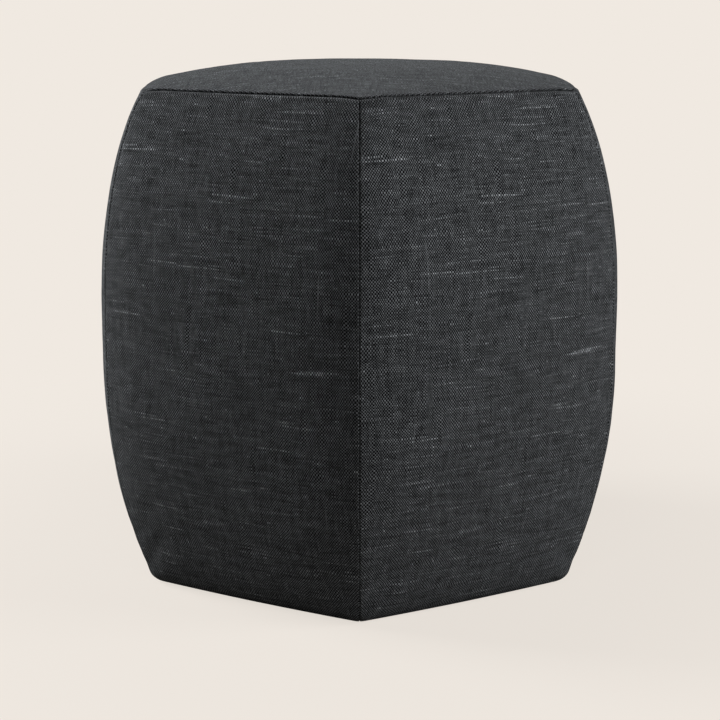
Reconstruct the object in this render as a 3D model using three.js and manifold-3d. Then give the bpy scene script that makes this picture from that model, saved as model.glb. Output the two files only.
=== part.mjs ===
// A hexagonal ottoman: a stuffed seat in charcoal linen-look cloth, with a corner facing the front (-Y).
//
// The cover is eight pieces of cloth: six side panels, a crowned top panel and a flat underside panel. They are
// sewn edge to edge with plain seams, and packed so firm that the body swells like a barrel between its top seam
// and the floor. The side panels and the top panel are solid, each with the stuffing that lies behind it. The
// cloth rolls into every seam from both sides, so a seam shows as a narrow valley.

import * as THREE from 'three';
import Module from 'manifold-3d';

// Driving dimensions, in millimetres and radians.
const SIDES = 6;
const SEAM_HEIGHT = 440; // floor to top seam
const WIDEST_HEIGHT = 200; // floor to the widest level
const WIDEST_RADIUS = 253; // axis to a corner seam at the widest level
const END_RADIUS = 212.5; // axis to a corner at the top seam and at the floor, before the edges roll in
const UPPER_SWELL = 3.1; // power of the barrel curve above the widest level
const LOWER_SWELL = 2.1; // power of the barrel curve below it
const CORNER_TURN = { widest: 28, end: 15 }; // radius that the cloth turns through beside a corner seam
const PANEL_BOW = { widest: 0.148, end: 0.07 }; // half the angle that a side panel bows through between corners
const SEAM_ROLL = 3.5; // radius that a side panel rolls through into a seam
const FOOT_ROLL = 10; // radius that a side panel rolls through under the body
const LEDGE = 2; // width of side cloth that lies on the floor, round the underside panel
const CROWN_ROLL = 1.5; // radius that the top panel rolls through into its seam
const CROWN_HEIGHT = 16; // rise of the top panel from its rolled edge to its middle
const CROWN_POWER = 5; // power of the crown's curve, which keeps its middle flat
const CROWN_FLAT = 0.2; // share of the top panel's width where it is quite flat
const CLOTH = 3; // thickness of the underside panel
const GAP = 0.3; // space left between pieces along a seam

const HALF_TURN = Math.PI / SIDES; // from the middle of a side panel round to its corner

// Steps that the curves are divided into.
const ROLL_STEPS = 3;
const TURN_STEPS = 2;
const BOW_STEPS = 6;
const RISE_STEPS = 12;
const CROWN_STEPS = 6;

const COLOURS = { side: 0x3a3c3e, top: 0x4c4e50, underside: 0x303234 };

const wasm = await Module();
wasm.setup();

// ---- Solids ----

// Evenly spaced numbers from start to end, with both ends.
function steps(start, end, count) {
  return Array.from({ length: count + 1 }, (_, i) => start + ((end - start) * i) / count);
}

// A closed solid through a stack of convex outlines, lowest first. Each outline has the same number of points,
// anticlockwise from above.
function stackedSolid(outlines) {
  const count = outlines[0].length;
  const top = (outlines.length - 1) * count;
  const faces = [];
  for (let start = 0; start < top; start += count) {
    for (let i = 0; i < count; i++) {
      const a = start + i;
      const b = start + ((i + 1) % count);
      faces.push([a, b, b + count], [a, b + count, a + count]);
    }
  }
  for (let i = 1; i < count - 1; i++) {
    faces.push([0, i + 1, i], [top, top + i, top + i + 1]);
  }
  const geometry = new THREE.BufferGeometry().setFromPoints(outlines.flat());
  geometry.setIndex(faces.flat());
  return geometry;
}

function toManifold(geometry) {
  const vertProperties = geometry.attributes.position.array;
  const triVerts = Uint32Array.from(geometry.index.array);
  return new wasm.Manifold(new wasm.Mesh({ numProp: 3, vertProperties, triVerts }));
}

function toGeometry(manifold) {
  const { vertProperties, triVerts } = manifold.getMesh();
  const geometry = new THREE.BufferGeometry();
  geometry.setAttribute('position', new THREE.BufferAttribute(vertProperties, 3));
  geometry.setIndex(new THREE.BufferAttribute(triVerts, 1));
  return geometry;
}

// ---- The body's shape ----

// A quarter-round edge, in steps from the seam to the open cloth: how far each step is along the cloth, and how
// far it is sunk below the cloth's surface.
function rolledEdge(radius) {
  return steps(0, Math.PI / 2, ROLL_STEPS).map((turn) => ({
    along: radius * (1 - Math.cos(turn)),
    sunk: radius * (1 - Math.sin(turn)),
  }));
}

// The body's corner radius, corner turn and panel bow at one height.
function shapeAt(height) {
  const above = height > WIDEST_HEIGHT;
  const reach = Math.abs(height - WIDEST_HEIGHT) / (above ? SEAM_HEIGHT - WIDEST_HEIGHT : WIDEST_HEIGHT);
  const swell = reach ** (above ? UPPER_SWELL : LOWER_SWELL);
  return {
    corner: THREE.MathUtils.lerp(WIDEST_RADIUS, END_RADIUS, swell),
    turn: THREE.MathUtils.lerp(CORNER_TURN.widest, CORNER_TURN.end, reach ** 2),
    bow: THREE.MathUtils.lerp(PANEL_BOW.widest, PANEL_BOW.end, reach ** 2),
  };
}

// The line of one side panel's cloth at one height, from corner to corner, with x out through the panel's middle
// and y across it. The middle is a shallow arc, and a tighter arc turns each end towards its corner. The cloth is
// sunk everywhere by sunk, and beside the corners also by their roll, where the line has one.
function clothLine(height, sunk, cornerRoll) {
  const { corner, turn, bow } = shapeAt(height);
  const turnX = (corner - turn) * Math.cos(HALF_TURN);
  const turnY = (corner - turn) * Math.sin(HALF_TURN);
  const bowRadius = turnY / Math.sin(bow) + turn;
  const bowX = turnX - (bowRadius - turn) * Math.cos(bow);

  // Each point of the half line faces some way between straight out, at 0, and the corner.
  const open = [...steps(0, bow, BOW_STEPS / 2), ...steps(bow, HALF_TURN - cornerRoll / turn, TURN_STEPS).slice(1)];
  const rolled = cornerRoll > 0 ? rolledEdge(cornerRoll).reverse().slice(1) : [];
  const half = [
    ...open.map((facing) => ({ facing, sunk: 0 })),
    ...rolled.map((step) => ({ facing: HALF_TURN - step.along / turn, sunk: step.sunk })),
  ];
  const right = half.map((point) => {
    const onBow = point.facing <= bow;
    const radius = (onBow ? bowRadius : turn) - Math.max(sunk, point.sunk);
    return {
      x: (onBow ? bowX : turnX) + radius * Math.cos(point.facing),
      y: (onBow ? 0 : turnY) + radius * Math.sin(point.facing),
    };
  });
  const left = right.slice(1).reverse().map(({ x, y }) => ({ x, y: -y }));
  return [...left, ...right].map(({ x, y }) => new THREE.Vector3(x, y, height));
}

// The whole body's outline at one height, with the cloth sunk all round.
function bodyOutline(height, sunk) {
  const line = clothLine(height, sunk, 0).slice(1);
  const axis = new THREE.Vector3(0, 0, 1);
  return steps(0, SIDES - 1, SIDES - 1).flatMap((side) =>
    line.map((point) => point.clone().applyAxisAngle(axis, side * 2 * HALF_TURN)),
  );
}

// ---- The pieces ----

// The space under the body that the underside panel lies in.
function undersideRecess() {
  const outline = bodyOutline(0, FOOT_ROLL + LEDGE);
  const atHeight = (height) => outline.map(({ x, y }) => new THREE.Vector3(x, y, height));
  return stackedSolid([atHeight(-CLOTH), atHeight(CLOTH + GAP)]);
}

// One side panel with the wedge of stuffing behind it, in the panel's own axes. It rolls in at both corner seams,
// at the top seam and under the body, where it stops at the underside panel.
function sidePanel() {
  const tall = SEAM_HEIGHT - GAP;
  const foot = rolledEdge(FOOT_ROLL).map(({ along, sunk }) => ({ height: along, sunk }));
  const rise = steps(FOOT_ROLL, tall - SEAM_ROLL, RISE_STEPS).map((height) => ({ height, sunk: 0 }));
  const shoulder = rolledEdge(SEAM_ROLL).reverse().map(({ along, sunk }) => ({ height: tall - along, sunk }));
  const levels = [...foot, ...rise.slice(1, -1), ...shoulder];
  const outlines = levels.map(({ height, sunk }) => [
    new THREE.Vector3(0, 0, height),
    ...clothLine(height, sunk, SEAM_ROLL),
  ]);
  const recess = new THREE.Matrix4().makeTranslation(-GAP, 0, 0);
  const wedge = toManifold(stackedSolid(outlines));
  return toGeometry(wedge.subtract(toManifold(undersideRecess().applyMatrix4(recess))));
}

// The top panel with the stuffing that crowns it: flat below, rolled in at its seam, and domed. Its rings are the
// seam line, shrunk towards the middle by share. The dome falls away towards each of the six seams in turn, so
// that it has no ridges.
function topPanel() {
  const roll = rolledEdge(CROWN_ROLL).map(({ along, sunk }) => ({
    share: 1 - along / END_RADIUS,
    rise: CROWN_ROLL - sunk,
  }));
  const dome = steps(0, Math.acos(CROWN_FLAT), CROWN_STEPS).map((turn) => ({
    share: Math.cos(turn) * roll.at(-1).share,
    rise: CROWN_ROLL,
  }));
  const seamNormals = steps(0, SIDES - 1, SIDES - 1).map(
    (side) => new THREE.Vector3(Math.cos(side * 2 * HALF_TURN), Math.sin(side * 2 * HALF_TURN), 0),
  );
  const seamLine = bodyOutline(SEAM_HEIGHT, SEAM_ROLL);
  const outlines = [...roll, ...dome.slice(1)].map(({ share, rise }) =>
    seamLine.map((point) => {
      const reaches = seamNormals.map((normal) => Math.max(0, point.dot(normal)));
      const nearest = Math.max(...reaches);
      const crown = reaches.reduce((left, reach) => left * (1 - ((share * reach) / nearest) ** CROWN_POWER), 1);
      return new THREE.Vector3(point.x * share, point.y * share, SEAM_HEIGHT + rise + CROWN_HEIGHT * crown);
    }),
  );
  return stackedSolid(outlines);
}

// The underside panel, flat on the floor inside the side panels' ledge.
function undersidePanel() {
  const outline = bodyOutline(0, FOOT_ROLL + LEDGE + GAP);
  return stackedSolid([outline, outline.map(({ x, y }) => new THREE.Vector3(x, y, CLOTH))]);
}

// ---- The ottoman ----

function clothMaterial(color) {
  return new THREE.MeshStandardMaterial({ color, roughness: 0.95, metalness: 0 });
}

function namedMesh(name, geometry, color) {
  geometry.computeVertexNormals();
  const mesh = new THREE.Mesh(geometry, clothMaterial(color));
  mesh.name = name;
  return mesh;
}

const ottoman = new THREE.Group();

// The side panels go round from the front left corner panel to the left one, each set out from the axis by the
// gap, which leaves that gap along every corner seam.
for (let side = 0; side < SIDES; side++) {
  const facing = -Math.PI / 2 + (2 * side - 1) * HALF_TURN;
  const panel = namedMesh(`side_panel_${side + 1}`, sidePanel(), COLOURS.side);
  panel.rotation.z = facing;
  panel.position.set(GAP * Math.cos(facing), GAP * Math.sin(facing), 0);
  ottoman.add(panel);
}
ottoman.add(namedMesh('top_panel', topPanel(), COLOURS.top));
ottoman.add(namedMesh('underside_panel', undersidePanel(), COLOURS.underside));

// The panels are modelled facing +X, so a corner of the top and underside panels starts off half a turn of a
// side away from the front.
for (const name of ['top_panel', 'underside_panel']) {
  ottoman.getObjectByName(name).rotation.z = -Math.PI / 2 + HALF_TURN;
}

export default ottoman;
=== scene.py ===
import math

import bmesh
import bpy
from mathutils import Matrix, Vector, noise


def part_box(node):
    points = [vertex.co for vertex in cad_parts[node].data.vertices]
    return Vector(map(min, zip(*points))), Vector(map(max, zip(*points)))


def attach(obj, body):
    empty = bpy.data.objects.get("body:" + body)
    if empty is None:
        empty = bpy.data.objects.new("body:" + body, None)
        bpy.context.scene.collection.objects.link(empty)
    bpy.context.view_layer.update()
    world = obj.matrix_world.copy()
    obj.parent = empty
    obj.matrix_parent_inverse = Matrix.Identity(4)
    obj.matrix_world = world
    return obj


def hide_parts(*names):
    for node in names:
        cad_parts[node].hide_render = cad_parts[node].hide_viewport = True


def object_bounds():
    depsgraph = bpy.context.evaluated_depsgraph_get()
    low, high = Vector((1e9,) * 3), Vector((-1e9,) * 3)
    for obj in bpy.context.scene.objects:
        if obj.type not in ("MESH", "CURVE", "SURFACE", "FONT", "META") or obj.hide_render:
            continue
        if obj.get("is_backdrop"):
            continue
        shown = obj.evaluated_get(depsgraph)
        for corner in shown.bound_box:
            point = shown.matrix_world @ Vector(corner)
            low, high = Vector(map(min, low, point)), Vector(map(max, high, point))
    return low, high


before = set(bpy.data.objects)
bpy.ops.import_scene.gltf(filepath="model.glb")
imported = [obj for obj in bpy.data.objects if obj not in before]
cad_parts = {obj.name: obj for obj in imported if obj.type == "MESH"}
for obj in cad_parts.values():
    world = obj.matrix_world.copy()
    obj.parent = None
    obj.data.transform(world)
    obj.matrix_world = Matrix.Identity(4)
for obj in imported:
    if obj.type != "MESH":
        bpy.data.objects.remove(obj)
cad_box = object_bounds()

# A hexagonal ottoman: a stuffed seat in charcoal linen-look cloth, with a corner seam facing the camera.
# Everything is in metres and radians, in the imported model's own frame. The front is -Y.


# ---- Side panels ----
# Six equal panels of charcoal linen-look upholstery cloth, widest near mid-height, sewn edge to edge at the
# corners. Each has the stuffing behind it and is held only at its seams, so it is run as a cloth that the
# stuffing presses out. The seams are rolled in after that, as a plain seam pulls the cloth in.

SIDES = 6
HALF_TURN = math.pi / SIDES  # from the middle of a side panel round to its corner
SEAM_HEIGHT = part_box("top_panel")[0].z
WIDEST_HEIGHT = 0.200
WIDEST_RADIUS = 0.253  # axis to a corner seam at the widest level
END_RADIUS = 0.2125  # axis to a corner at the top seam and at the floor
UPPER_SWELL = 3.1  # power of the barrel curve above the widest level
LOWER_SWELL = 2.1

# A panel's line across is nearly flat, then eases round, and then turns more tightly into the corner seam.
# Each pair is for the widest level and for the ends.
PANEL_BOW = (0.061, 0.070)  # half the angle that the nearly flat middle bows through
EASE_FACING = (0.244, 0.070)  # how far round the cloth faces once it has eased
EASE_RADIUS = 0.190
CORNER_TURN = (0.028, 0.015)  # radius of the tighter turn
TURN_POWER = 6  # power of the change from the first to the second of each pair, which keeps it near the ends

FOOT_ROLL = 0.010  # radius that the panel rolls through under the body
LEDGE = 0.002  # width of side cloth that lies on the floor, round the underside panel
HEM = 0.003  # height that the side cloth turns up inside, to its seam with the underside panel
FOLD_RISE = 0.0011  # rise of the fold between the hem and the ledge
FOLD_WIDTH = 0.0004
FOOT_STEPS = 5  # rows that the foot's roll is divided into
SEAM_ROLL = 0.0013  # width of cloth that rolls into a seam, on each side of it
CORNER_DEPTH = 0.0030  # depth that it rolls in to at a corner seam
SEAM_DEPTH = 0.0034  # and at the top seam
GAP = 0.0003  # space left between the pieces along a seam
CELL = 0.0068  # spacing of the cloth's grid while it is pressed out
EDGE_CELLS = (0.0, 0.0008, 0.0018, 0.0032, 0.0052, 0.0080, 0.0120, 0.0175)  # grid lines beside a seam
FINER = 2  # times that the grid is divided after that
SAME_SPOT = 0.00005  # points that are nearer than this are one
ON_SEAM = 0.000001  # and a point that is nearer than this to a seam lies on it

SLACK = 0.0008  # how far inside its full shape the middle of the cloth starts, which the stuffing then fills
SLACK_REACH = 0.03  # way in from a seam that the slack builds up over
SWELL_CAP = 0.003  # furthest that the stuffing may press the cloth out
STUFFING_PRESSURE = 4
PRESS_FRAMES = 20

BROAD_DEPTH = 0.0009  # how far the stuffing's unevenness moves the cloth in broad waves, and in small ones
SMALL_DEPTH = 0.00025
BROAD_WAVES = 11  # waves in a metre
SMALL_WAVES = 32
PUCKER_DEPTH = 0.00030
PUCKER_WAVES = 95
PUCKER_REACH = 0.007  # way in from a seam that its puckers fade over
DIP_DEPTH = 0.0014  # how far three seams pull the cloth down where they meet, and the side panels also in
DIP_REACH = 0.012
HELD_EVEN = 0.002  # height up to which the floor keeps the cloth even
HELD_FADE = 0.020  # rise above that over which its unevenness sets in
TOP_EDGE = 0.004  # points of a panel's edge that are this near its top are closed together


def between(start, end, share):
    return start + (end - start) * share


def shape_at(height):
    """The body's corner radius at one height, and its panels' bow, ease and corner turn."""
    above = height > WIDEST_HEIGHT
    reach = abs(height - WIDEST_HEIGHT) / (SEAM_HEIGHT - WIDEST_HEIGHT if above else WIDEST_HEIGHT)
    swell = reach ** (UPPER_SWELL if above else LOWER_SWELL)
    return (
        between(WIDEST_RADIUS, END_RADIUS, swell),
        between(*PANEL_BOW, reach**TURN_POWER),
        between(*EASE_FACING, reach**TURN_POWER),
        between(*CORNER_TURN, reach**TURN_POWER),
    )


def arcs_at(height):
    """Half of a side panel's line at one height, as arcs from its middle to its corner seam.

    Each is the x and y of its centre, its radius, and where it starts and stops facing.
    """
    corner, bow, ease, turn = shape_at(height)
    turn_x = (corner - turn) * math.cos(HALF_TURN)
    turn_y = (corner - turn) * math.sin(HALF_TURN)
    ease_x = turn_x - (EASE_RADIUS - turn) * math.cos(ease)
    ease_y = turn_y - (EASE_RADIUS - turn) * math.sin(ease)
    bow_radius = EASE_RADIUS + ease_y / math.sin(bow)
    bow_x = ease_x - (bow_radius - EASE_RADIUS) * math.cos(bow)
    return (
        (bow_x, 0, bow_radius, 0, bow),
        (ease_x, ease_y, EASE_RADIUS, bow, ease),
        (turn_x, turn_y, turn, ease, HALF_TURN),
    )


def half_width(height):
    """The way along a side panel's cloth from its middle to its corner seam, at one height."""
    return sum(radius * (stop - start) for _, _, radius, start, stop in arcs_at(height))


def cloth_spot(height, way, sunk):
    """The spot at a way along a side panel's cloth, with x out through the panel's middle and y across it."""
    left = abs(way)
    for x, y, radius, start, stop in arcs_at(height):
        facing = start + left / radius
        if facing <= stop or stop == HALF_TURN:
            break
        left -= radius * (stop - start)
    x += (radius - sunk) * math.cos(facing)
    y += (radius - sunk) * math.sin(facing)
    return Vector((x, math.copysign(y, way), height))


def lay_grid(bm, columns, rows, place):
    """Adds a grid of cloth.

    place(column, row) gives each point's spot, its place in the weave in metres, and its gaps to the nearest
    seams along and across the grid.
    """
    weave = bm.loops.layers.uv.get("weave") or bm.loops.layers.uv.new("weave")
    gaps = bm.loops.layers.uv.get("gaps") or bm.loops.layers.uv.new("gaps")
    made = bmesh.ops.create_grid(bm, x_segments=columns, y_segments=rows, size=0.5)["verts"]
    places = {}
    for vert in made:
        places[vert] = place(round((vert.co.x + 0.5) * columns), round((vert.co.y + 0.5) * rows))
        vert.co = places[vert][0]
    for face in {face for vert in made for face in vert.link_faces}:
        for loop in face.loops:
            _, loop[weave].uv, loop[gaps].uv = places[loop.vert]


def side_grid():
    """One side panel's cloth before it is pressed out, in rows from the underside seam to the top seam."""
    tall = SEAM_HEIGHT - GAP
    under = FOOT_ROLL + LEDGE

    # Each row's height, and how far it is sunk below the body's surface.
    levels = [(HEM + GAP, under), (FOLD_RISE, under), (0, under - FOLD_WIDTH)]
    for step in range(FOOT_STEPS + 1):
        angle = math.pi / 2 * step / FOOT_STEPS
        levels.append((FOOT_ROLL * (1 - math.cos(angle)), FOOT_ROLL * (1 - math.sin(angle))))
    climb = tall - EDGE_CELLS[-1] - FOOT_ROLL
    count = round(climb / CELL)
    levels += [(FOOT_ROLL + climb * step / count, 0) for step in range(1, count)]
    levels += [(tall - gap, 0) for gap in reversed(EDGE_CELLS)]

    # Each row's way up the cloth, measured along the panel's middle.
    ways = [0.0]
    for low, high in zip(levels, levels[1:]):
        ways.append(ways[-1] + (cloth_spot(high[0], 0, high[1]) - cloth_spot(low[0], 0, low[1])).length)

    edge = len(EDGE_CELLS) - 1
    open_columns = 2 * round(WIDEST_RADIUS / 2 / CELL)
    columns = open_columns + 2 * edge

    def place(column, row):
        height, sunk = levels[row]
        half = half_width(height)
        if column < edge:
            way = EDGE_CELLS[column] - half
        elif column > columns - edge:
            way = half - EDGE_CELLS[columns - column]
        else:
            way = (half - EDGE_CELLS[-1]) * (2 * (column - edge) / open_columns - 1)
        side_gap = half - abs(way)
        top_gap = ways[-1] - ways[row]

        # The slack builds up half as fast above the foot as it does beside a seam.
        near = min(side_gap, top_gap, max(0, height - FOOT_ROLL) / 2)
        slack = SLACK * (1 - math.exp(-((near / SLACK_REACH) ** 2)))
        return cloth_spot(height, way, sunk + slack), (way, ways[row]), (side_gap, top_gap)

    bm = bmesh.new()
    lay_grid(bm, columns, len(levels) - 1, place)
    return bm


def new_piece(name, bm):
    mesh = bpy.data.meshes.new(name)
    bm.to_mesh(mesh)
    bm.free()
    piece = bpy.data.objects.new(name, mesh)
    bpy.context.collection.objects.link(piece)
    return piece


def press_out(piece):
    """Runs a piece as cloth held at its edge, with the stuffing's pressure behind it.

    The result is kept, up to the furthest that the stuffing may press the cloth out.
    """
    scene = bpy.context.scene
    mesh = piece.data
    bm = bmesh.new()
    bm.from_mesh(mesh)
    held = [vert.index for vert in bm.verts if vert.is_boundary]
    bm.free()
    start = [vert.co.copy() for vert in mesh.vertices]
    group = piece.vertex_groups.new(name="seam")
    group.add(held, 1.0, "REPLACE")
    cloth = piece.modifiers.new("stuffing", "CLOTH")
    cloth.settings.vertex_group_mass = "seam"
    cloth.settings.use_pressure = True
    cloth.settings.uniform_pressure_force = STUFFING_PRESSURE
    cloth.settings.effector_weights.gravity = 0
    cloth.collision_settings.use_collision = False
    cloth.point_cache.frame_start = 1
    cloth.point_cache.frame_end = PRESS_FRAMES
    for number in range(1, PRESS_FRAMES + 1):
        scene.frame_set(number)
    pressed = piece.evaluated_get(bpy.context.evaluated_depsgraph_get())
    for vert, moved, rest in zip(mesh.vertices, pressed.data.vertices, start):
        way = moved.co - rest
        if way.length > SWELL_CAP:
            way *= SWELL_CAP / way.length
        vert.co = rest + way
    piece.modifiers.remove(cloth)
    piece.vertex_groups.remove(group)
    scene.frame_set(1)


def make_finer(piece):
    """Divides a piece's grid smoothly, and keeps the result."""
    finer = piece.modifiers.new("finer", "SUBSURF")
    finer.levels = finer.render_levels = FINER
    finer.boundary_smooth = "PRESERVE_CORNERS"
    finer.uv_smooth = "NONE"
    smooth = piece.evaluated_get(bpy.context.evaluated_depsgraph_get())
    mesh = bpy.data.meshes.new_from_object(smooth)
    piece.modifiers.remove(finer)
    coarse = piece.data
    piece.data = mesh
    bpy.data.meshes.remove(coarse)
    mesh.name = piece.name


def rolled(gap, width, depth):
    """How far the cloth is sunk, at a gap from a seam that it rolls into."""
    if gap >= width:
        return 0
    return depth * (1 - math.sqrt(1 - (1 - max(gap, 0) / width) ** 2))


def unevenness(spot):
    """How far the stuffing's unevenness moves the cloth out, at a spot on the body."""
    broad = noise.noise(spot * BROAD_WAVES + Vector((3.1, 0.7, 5.2)))
    small = noise.noise(spot * SMALL_WAVES + Vector((8.4, 2.6, 1.9)))
    return BROAD_DEPTH * broad + SMALL_DEPTH * small


def pucker(spot, gap):
    """How far the seam's uneven pull moves the cloth beside it, at a gap from the seam."""
    waves = noise.noise(spot * PUCKER_WAVES + Vector((1.3, 4.4, 9.1)))
    return PUCKER_DEPTH * waves * math.exp(-gap / PUCKER_REACH)


def corner_dip(spot):
    """How far the meeting of three seams pulls the cloth down, at the corners of the top panel."""
    turned = math.atan2(spot.y, spot.x) + math.pi / 2
    corner = round(turned / (2 * HALF_TURN)) * 2 * HALF_TURN - math.pi / 2
    seam = Vector((math.cos(corner) * END_RADIUS, math.sin(corner) * END_RADIUS, SEAM_HEIGHT))
    return DIP_DEPTH * math.exp(-(((spot - seam).length / DIP_REACH) ** 2))


def seam_gaps(bm):
    """Each point's gaps to its nearest seams, as the grid was given them. Their layer is used up."""
    layer = bm.loops.layers.uv["gaps"]
    gaps = {loop.vert: loop[layer].uv.copy() for face in bm.faces for loop in face.loops}
    bm.loops.layers.uv.remove(layer)
    return gaps


def close_behind(bm, meeting):
    """Closes cloth into a solid, by walls from each spot of its edge back to meeting(spot)."""
    for face in bm.faces:
        face.smooth = True
    edge = [line for line in bm.edges if line.is_boundary]
    for line in edge:
        line.smooth = False
    made = bmesh.ops.extrude_edge_only(bm, edges=edge)["geom"]
    behind = [vert for vert in made if isinstance(vert, bmesh.types.BMVert)]
    for vert in behind:
        vert.co = meeting(vert.co)
    bmesh.ops.remove_doubles(bm, verts=behind, dist=SAME_SPOT)
    bmesh.ops.recalc_face_normals(bm, faces=bm.faces)


def close_foot(bm, gaps, end):
    """Closes one end of a side panel's turned-under foot, from its hem to the cloth level with the hem."""
    line = [vert for vert in bm.verts if gaps[vert].x < ON_SEAM and vert.co.y * end > 0]
    line.sort(key=lambda vert: -gaps[vert].y)
    foot = line[:1]
    for vert in line[1:]:
        foot.append(vert)
        if vert.co.z > HEM + GAP:
            break
    bm.faces.new(foot)


def finish_side(piece, turn):
    """Rolls a side panel's seams in, makes it uneven, turns it to its place and closes it behind."""
    bm = bmesh.new()
    bm.from_mesh(piece.data)
    bm.normal_update()
    gaps = seam_gaps(bm)
    for vert in bm.verts:
        side_gap, top_gap = gaps[vert]
        level = Vector((vert.normal.x, vert.normal.y, 0)).normalized()
        spot = turn @ vert.co
        free = min(1, max(0, (vert.co.z - HELD_EVEN) / HELD_FADE))
        lift = free * (unevenness(spot) + pucker(spot, min(side_gap, top_gap)))
        sunk = max(rolled(side_gap, SEAM_ROLL, CORNER_DEPTH), rolled(top_gap, SEAM_ROLL, SEAM_DEPTH))
        dip = corner_dip(spot)
        vert.co += level * (lift - sunk - dip)
        vert.co.z -= dip
    for end in (-1, 1):
        close_foot(bm, gaps, end)
    bm.transform(turn)
    tall = SEAM_HEIGHT - GAP

    # The walls from the top edge meet in one point on the axis, and the others run level back to it.
    close_behind(bm, lambda spot: Vector((0, 0, tall if spot.z > tall - TOP_EDGE else spot.z)))
    bm.transform(Matrix.Translation(turn @ Vector((GAP, 0, 0))))
    bm.to_mesh(piece.data)
    bm.free()


def linear(hex_colour):
    """A colour written as sRGB hex, as Blender's linear red, green, blue and alpha."""
    parts = [int(hex_colour[i : i + 2], 16) / 255 for i in (1, 3, 5)]
    return [p / 12.92 if p <= 0.04045 else ((p + 0.055) / 1.055) ** 2.4 for p in parts] + [1]


def add(tree, kind, inputs=None, **settings):
    """Adds a node with its settings. inputs gives its sockets values, or other nodes' outputs to link to."""
    node = tree.nodes.new(kind)
    for name, value in settings.items():
        setattr(node, name, value)
    for socket, value in (inputs or {}).items():
        if isinstance(value, bpy.types.NodeSocket):
            tree.links.new(value, node.inputs[socket])
        else:
            node.inputs[socket].default_value = value
    return node


def empty_tree(owner):
    """Gives a material or world a node tree with nothing in it."""
    owner.use_nodes = True
    owner.node_tree.nodes.clear()
    return owner.node_tree


# Linen-look upholstery cloth: a plain weave of slubby yarns, a charcoal warp under a paler grey weft, so it
# reads as fine pale dots on dark. The dye took unevenly, and pale slubs and knots run along the weft. Such
# cloth commonly has threads 0.8 to 1.2 mm apart. This one is coarse, its weft more so, and so it shows.
WARP_PITCH = 0.00116
WEFT_PITCH = 0.00144
WARP_WANDER = 0.0020  # how far the threads wander from side to side
WEFT_WANDER = 0.0022
WEFT_TONE = 0.53  # how pale the weft is, between the cloth's dark and light colours, before the contrast
CONTRAST = 1.8  # power of the cloth's tone, which keeps most of it dark
PAINTED_HOLLOW_SHADE = 0.35  # how much shade is painted into the colour in the hollows between the threads
SLUB_RISE = 0.4  # height of a slub over a thread, as a share of the thread's own


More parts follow.
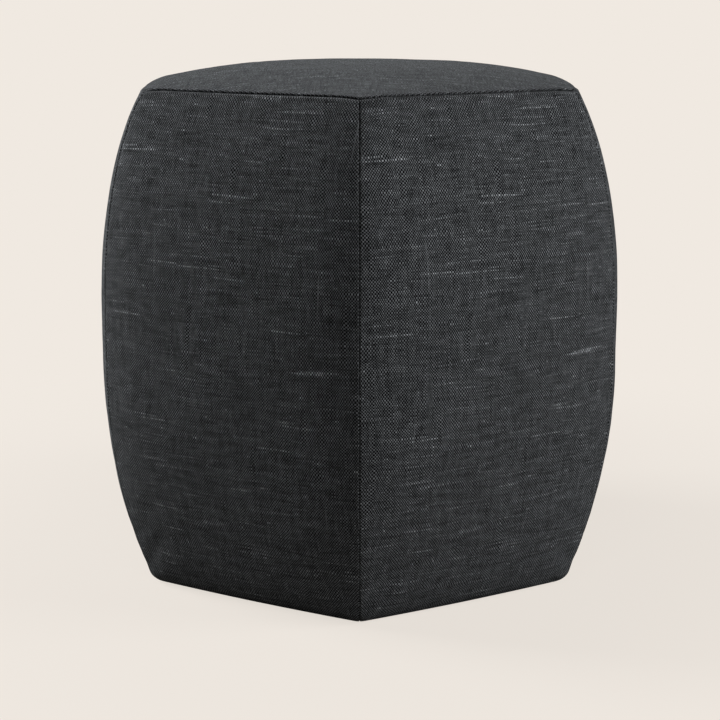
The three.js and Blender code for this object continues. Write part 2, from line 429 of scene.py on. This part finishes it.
def linen_look(name, dark, light, sheen):
    material = bpy.data.materials.new(name)
    tree = empty_tree(material)

    def calc(operation, *values, clamp=False):
        inputs = dict(enumerate(values))
        return add(tree, "ShaderNodeMath", inputs, operation=operation, use_clamp=clamp).outputs[0]

    def vector(x, y, z=0.0):
        return add(tree, "ShaderNodeCombineXYZ", {0: x, 1: y, 2: z}).outputs[0]

    def soft(across, across_size, up, up_size, layer):
        """Smooth noise between -0.5 and 0.5, whose features are about the given sizes."""
        spot = vector(calc("DIVIDE", across, across_size), calc("DIVIDE", up, up_size), layer)
        inputs = {"Vector": spot, "Scale": 1.0, "Detail": 1.0, "Roughness": 0.5}
        fac = add(tree, "ShaderNodeTexNoise", inputs, noise_dimensions="3D").outputs["Fac"]
        stretch = {"Value": fac, "From Min": 0.25, "From Max": 0.75, "To Min": -0.5, "To Max": 0.5}
        return add(tree, "ShaderNodeMapRange", stretch).outputs[0]

    def chance(x, y, layer):
        spot = vector(x, y, layer)
        return add(tree, "ShaderNodeTexWhiteNoise", {"Vector": spot}, noise_dimensions="3D").outputs["Value"]

    def either(pick, first, second):
        """The first value where pick is 0 and the second where it is 1."""
        return add(tree, "ShaderNodeMix", {0: pick, 2: first, 3: second}, data_type="FLOAT").outputs[0]

    def built_up(base, *parts):
        """A base value with parts added to it, each a value and how strongly it counts."""
        for value, strength in parts:
            base = calc("MULTIPLY_ADD", value, strength, base)
        return base

    # The threads wander, so neither set is quite straight or even. Sizes are in metres. The last number of
    # each noise and chance is its layer, which keeps it apart from the others.
    uv = add(tree, "ShaderNodeUVMap", uv_map="weave").outputs[0]
    split = add(tree, "ShaderNodeSeparateXYZ", {0: uv}).outputs
    across, up = split[0], split[1]
    warp_place = built_up(across, (soft(across, 0.012, up, 0.060, 1.0), WARP_WANDER))
    weft_place = built_up(up, (soft(across, 0.060, up, 0.012, 2.0), WEFT_WANDER))
    warp, weft = calc("DIVIDE", warp_place, WARP_PITCH), calc("DIVIDE", weft_place, WEFT_PITCH)
    warp_no, weft_no = calc("FLOOR", warp), calc("FLOOR", weft)
    over = calc("MODULO", calc("ABSOLUTE", calc("ADD", warp_no, weft_no)), 2.0)  # 1 where the weft is on top

    def slubs(number, along, stretch, share, longest, layer):
        """Slubs in a share of a thread's stretches: thickest in the middle, and a few far paler."""

        # Each thread's stretches start at a place of their own.
        part = built_up(calc("DIVIDE", along, stretch), (chance(number, 0.5, layer), 7.0))
        size = calc("DIVIDE", chance(number, calc("FLOOR", part), layer + 1.0), share)
        there = calc("LESS_THAN", size, 1.0)

        # A slub reaches from its stretch's middle by 0.15 to 0.5 of the longest length.
        reach = built_up(0.15 * longest / stretch, (size, 0.35 * longest / stretch))
        middle = calc("DIVIDE", calc("ABSOLUTE", calc("SUBTRACT", calc("FRACT", part), 0.5)), reach)
        body = calc("SUBTRACT", 1.0, calc("POWER", middle, 4.0), clamp=True)
        rare = calc("POWER", chance(number, calc("FLOOR", part), layer + 2.0), 3.0)
        pale = built_up(0.25, (rare, 0.75))
        return calc("MULTIPLY", calc("MULTIPLY", body, pale), there)

    weft_slub = slubs(weft_no, across, stretch=0.08, share=0.16, longest=0.050, layer=10.0)
    warp_slub = slubs(warp_no, up, stretch=0.16, share=0.035, longest=0.080, layer=20.0)
    knot = slubs(weft_no, across, stretch=0.020, share=0.07, longest=0.005, layer=30.0)

    # Each thread's tone changes along it, each crossing has a fleck of its own, and the dye took in bands.
    # A streak's size across is a small part of one thread, so that neighbouring threads aren't alike.
    fleck = calc("SUBTRACT", chance(warp_no, weft_no, 3.0), 0.5)
    weft_streak = soft(across, 0.022, weft_no, 0.173, 4.0)
    warp_streak = soft(warp_no, 0.137, up, 0.018, 5.0)
    bands = calc("ADD", soft(across, 0.030, up, 0.006, 6.0), soft(across, 0.006, up, 0.030, 7.0))
    grain = calc("ADD", soft(across, 0.012, up, 0.0034, 8.0), soft(across, 0.0034, up, 0.012, 9.0))
    patch = built_up(0.0, (grain, 0.06), (bands, 0.05))
    dotted = calc("MULTIPLY", weft_slub, built_up(1.0, (fleck, 1.2)))
    pale = built_up(
        WEFT_TONE,
        (fleck, 0.10),
        (weft_streak, 0.24),
        (warp_streak, 0.20),
        (dotted, 0.35),
        (knot, 0.50),
    )
    deep = built_up(0.0, (fleck, 0.03), (warp_streak, 0.12), (warp_slub, 0.45))
    tone = calc("POWER", calc("ADD", either(over, deep, pale), patch, clamp=True), CONTRAST)

    # The threads are round, and shade is painted into their colour towards the hollows between them.
    warp_round = calc("SINE", calc("MULTIPLY", calc("FRACT", warp), math.pi))
    weft_round = calc("SINE", calc("MULTIPLY", calc("FRACT", weft), math.pi))
    crown = either(over, warp_round, weft_round)
    tone = calc("MULTIPLY", tone, built_up(1 - PAINTED_HOLLOW_SHADE, (crown, PAINTED_HOLLOW_SHADE)))
    blend = {"Factor": tone, 6: linear(dark), 7: linear(light)}
    colour = add(tree, "ShaderNodeMix", blend, data_type="RGBA").outputs[2]
    height = built_up(crown, (weft_slub, SLUB_RISE))
    bump = add(tree, "ShaderNodeBump", {"Strength": 0.8, "Distance": 0.0003, "Height": height}).outputs[0]
    shader = add(
        tree,
        "ShaderNodeBsdfPrincipled",
        {
            "Base Color": colour,
            "Roughness": 0.95,
            "Specular IOR Level": 0.0,
            "Sheen Weight": sheen,
            "Sheen Roughness": 0.5,
            "Sheen Tint": linear("#D5D8DA"),
            "Normal": bump,
        },
    )
    add(tree, "ShaderNodeOutputMaterial", {"Surface": shader.outputs[0]})
    return material


charcoal_cloth = linen_look("charcoal linen-look cloth", dark="#030304", light="#C6CBD0", sheen=0.15)

for side in range(SIDES):
    facing = -math.pi / 2 + (2 * side - 1) * HALF_TURN
    panel = new_piece(f"side_cloth_{side + 1}", side_grid())
    press_out(panel)
    make_finer(panel)
    finish_side(panel, Matrix.Rotation(facing, 4, "Z"))
    panel.data.materials.append(charcoal_cloth)
    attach(panel, "root")
    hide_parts(f"side_panel_{side + 1}")


# ---- Top panel ----
# One hexagon of the same cloth, sewn to the side panels all round and crowned by the stuffing. It is laid as
# three diamonds of grid that meet in the middle, so the cloth runs evenly to all six seams.

CROWN_ROLL = 0.0015
CROWN_HEIGHT = 0.0155  # once the stuffing has pressed it up
CROWN_POWER = 6
CROWN_FULLNESS = 0.80  # power of what the seams leave of the crown, which fills its edges
CROWN_SLACK_REACH = 0.012  # way in from the seam that the crown's slack builds up over
CROWN_BULGE = 0.0024  # how far the panel's rolled edge bulges out over its seam
BULGE_REACH = 0.006
EVEN_EDGE = 0.004  # way in from the seam that the cloth's unevenness sets in over
TOP_RINGS = 24  # rings of evenly spaced grid inside the finer ones at the seam


def hexagon_grid(height, sunk, radii, lift):
    """A hexagon of cloth inside the body's outline, with rings at the given shares of its radius."""
    rings = len(radii) - 1
    half = half_width(height)
    bm = bmesh.new()
    for diamond in range(SIDES // 2):

        def place(column, row):
            ring = max(column, row)
            side, way = 2 * diamond, row / max(ring, 1)
            if row > column:
                side, way = side + 1, 1 - column / ring
            turn = Matrix.Rotation(-math.pi / 2 + (2 * side + 1) * HALF_TURN, 4, "Z")
            line = turn @ cloth_spot(height, half * (2 * way - 1), sunk)
            spot = Vector((line.x * radii[ring], line.y * radii[ring], height + lift(line, radii[ring])))
            return spot, spot.xy, (END_RADIUS * math.cos(HALF_TURN) * (1 - radii[ring]), 0)

        lay_grid(bm, rings, rings, place)
    bmesh.ops.remove_doubles(bm, verts=bm.verts, dist=SAME_SPOT)
    bmesh.ops.recalc_face_normals(bm, faces=bm.faces)
    return bm


def crown_at(line, share):
    """Height of the slack crown over the seam, at a share of the way out to a spot on the seam line."""
    reaches = []
    for side in range(SIDES):
        facing = -math.pi / 2 + (2 * side + 1) * HALF_TURN
        reaches.append(max(0, line.x * math.cos(facing) + line.y * math.sin(facing)))
    left = 1
    for reach in reaches:
        left *= 1 - (share * reach / max(reaches)) ** CROWN_POWER
    gap = (1 - share) * END_RADIUS
    slack = SWELL_CAP * (1 - math.exp(-((gap / CROWN_SLACK_REACH) ** 2)))
    return CROWN_HEIGHT * max(0, left) ** CROWN_FULLNESS - slack


def finish_top(piece):
    """Rolls the top panel's seam in, makes the panel uneven and closes it behind."""
    bm = bmesh.new()
    bm.from_mesh(piece.data)
    bm.normal_update()
    gaps = seam_gaps(bm)
    for vert in bm.verts:
        spot, gap = vert.co.copy(), gaps[vert].x
        vert.co += vert.normal * (unevenness(spot) + pucker(spot, gap)) * min(1, gap / EVEN_EDGE)
        vert.co.z += CROWN_ROLL - rolled(gap, CROWN_ROLL, CROWN_ROLL) - corner_dip(spot)
        full = CROWN_BULGE - rolled(gap, CROWN_ROLL, CROWN_BULGE)
        vert.co.xy += spot.xy.normalized() * full * math.exp(-gap / BULGE_REACH)
    close_behind(bm, lambda spot: Vector((0, 0, SEAM_HEIGHT)))
    bm.to_mesh(piece.data)
    bm.free()


edge_radii = [1 - gap / (END_RADIUS * math.cos(HALF_TURN)) for gap in EDGE_CELLS]
top_radii = [edge_radii[-1] * ring / TOP_RINGS for ring in range(TOP_RINGS)] + edge_radii[::-1]
top = new_piece("top_cloth", hexagon_grid(SEAM_HEIGHT, SEAM_DEPTH, top_radii, crown_at))
press_out(top)
make_finer(top)
finish_top(top)
top.data.materials.append(charcoal_cloth)
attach(top, "root")
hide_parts("top_panel")


# ---- Underside panel ----
# A flat hexagon of plain dark base cloth, sewn inside the side panels' ledge. It lies on the floor under the
# stuffing's weight, so it is flat.

UNDERSIDE_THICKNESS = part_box("underside_panel")[1].z
UNDERSIDE_RINGS = 12

under_radii = [ring / UNDERSIDE_RINGS for ring in range(UNDERSIDE_RINGS + 1)]
underside = new_piece(
    "underside_cloth",
    hexagon_grid(0, FOOT_ROLL + LEDGE + GAP, under_radii, lambda line, share: 0),
)
bm = bmesh.new()
bm.from_mesh(underside.data)
made = bmesh.ops.extrude_face_region(bm, geom=list(bm.faces))["geom"]
bmesh.ops.translate(
    bm,
    verts=[vert for vert in made if isinstance(vert, bmesh.types.BMVert)],
    vec=(0, 0, UNDERSIDE_THICKNESS),
)
bmesh.ops.recalc_face_normals(bm, faces=bm.faces)
bm.to_mesh(underside.data)
bm.free()
base_cloth = linen_look("dark base cloth", dark="#161718", light="#35383A", sheen=0.1)
underside.data.materials.append(base_cloth)
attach(underside, "root")
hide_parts("underside_panel")


# ---- Floor, backdrop and light ----
# A plain warm white floor. Wherever it is seen it shows its own colour, mixed beside the ottoman with the
# light that falls on it, which keeps the soft shadow. One softbox stands to the left and a little back, a
# weaker one to the right and a little forward, and a weak one fills from the front.

PALE = "#F0E9E1"
FLOOR_RADIUS = 4.0
NEAR_SHARE = 0.84  # share of the floor's own colour in what it shows beside the ottoman
NEAR = 0.25  # distance from the axis up to which it keeps to that share
FAR = 0.8  # distance past which it shows its own colour alone
FLOOR_BOUNCE = 0.25  # share of its usual light that the floor throws back up, so the ottoman stays dark below
ROOM_LIGHT = 0.02
LIGHTS_AIM = (0, 0, 0.25)


def seen_rays(tree):
    """1 for rays that something is seen by, straight, in a mirror or through glass, and 0 for others."""
    rays = add(tree, "ShaderNodeLightPath").outputs
    seen = rays["Is Camera Ray"]
    for kind in ("Is Glossy Ray", "Is Transmission Ray"):
        seen = add(tree, "ShaderNodeMath", {0: seen, 1: rays[kind]}, operation="MAXIMUM").outputs[0]
    return seen


bm = bmesh.new()
bmesh.ops.create_circle(bm, cap_ends=True, segments=96, radius=FLOOR_RADIUS)
floor = new_piece("floor", bm)
matt_white = bpy.data.materials.new("matt white floor")
tree = empty_tree(matt_white)
seen = seen_rays(tree)
spot = add(tree, "ShaderNodeTexCoord").outputs["Object"]
distance = add(tree, "ShaderNodeVectorMath", {0: spot}, operation="LENGTH").outputs["Value"]
share = add(
    tree,
    "ShaderNodeMapRange",
    {"Value": distance, "From Min": NEAR, "From Max": FAR, "To Min": NEAR_SHARE, "To Max": 1.0},
    interpolation_type="SMOOTHSTEP",
).outputs[0]
share = add(tree, "ShaderNodeMath", {0: share, 1: seen}, operation="MULTIPLY").outputs[0]
dim = [FLOOR_BOUNCE * part for part in linear(PALE)[:3]] + [1]
colour = add(tree, "ShaderNodeMix", {0: seen, 6: dim, 7: linear(PALE)}, data_type="RGBA").outputs[2]
matt = add(tree, "ShaderNodeBsdfDiffuse", {"Color": colour}).outputs[0]
plain = add(tree, "ShaderNodeEmission", {"Color": linear(PALE), "Strength": 1.0}).outputs[0]
mixed = add(tree, "ShaderNodeMixShader", {0: share, 1: matt, 2: plain}).outputs[0]
add(tree, "ShaderNodeOutputMaterial", {"Surface": mixed})
floor.data.materials.append(matt_white)
floor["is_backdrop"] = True

world = bpy.data.worlds.new("studio")
bpy.context.scene.world = world
tree = empty_tree(world)
room = add(tree, "ShaderNodeBackground", {"Color": linear("#FFFFFF"), "Strength": ROOM_LIGHT}).outputs[0]
backdrop = add(tree, "ShaderNodeBackground", {"Color": linear(PALE), "Strength": 1.0}).outputs[0]
mixed = add(tree, "ShaderNodeMixShader", {0: seen_rays(tree), 1: room, 2: backdrop}).outputs[0]
add(tree, "ShaderNodeOutputWorld", {"Surface": mixed})


def softbox(name, place, size, power):
    light = bpy.data.lights.new(name, "AREA")
    light.shape = "RECTANGLE"
    light.size, light.size_y = size
    light.energy = power
    lamp = bpy.data.objects.new(name, light)
    lamp.location = place
    lamp.rotation_euler = (Vector(LIGHTS_AIM) - Vector(place)).to_track_quat("-Z", "Y").to_euler()
    bpy.context.collection.objects.link(lamp)


softbox("left softbox", place=(-2.12, 0.57, 1.3), size=(1.0, 1.0), power=61)
softbox("right softbox", place=(2.12, -0.57, 1.2), size=(1.0, 1.0), power=33)
softbox("front softbox", place=(0, -2.0, 1.8), size=(1.4, 0.8), power=8)


# ---- Camera ----
# A long lens about 1.6 m from the ottoman's axis and a little above its top. It looks slightly down, straight
# at a corner seam.

LOOK_DOWN = math.radians(12.35)

camera_data = bpy.data.cameras.new("camera")
camera_data.lens = 86.95
camera_data.sensor_width = 36
camera_data.clip_end = 100
camera = bpy.data.objects.new("camera", camera_data)
camera.location = (0.0004, -1.596, 0.5314)
camera.rotation_euler = (math.pi / 2 - LOOK_DOWN, 0, 0)
bpy.context.collection.objects.link(camera)

scene = bpy.context.scene
scene.camera = camera
scene.view_settings.view_transform = "Standard"

boxes = {"cad": cad_box, "visual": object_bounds()}
{name: [list(corner) for corner in box] for name, box in boxes.items()}
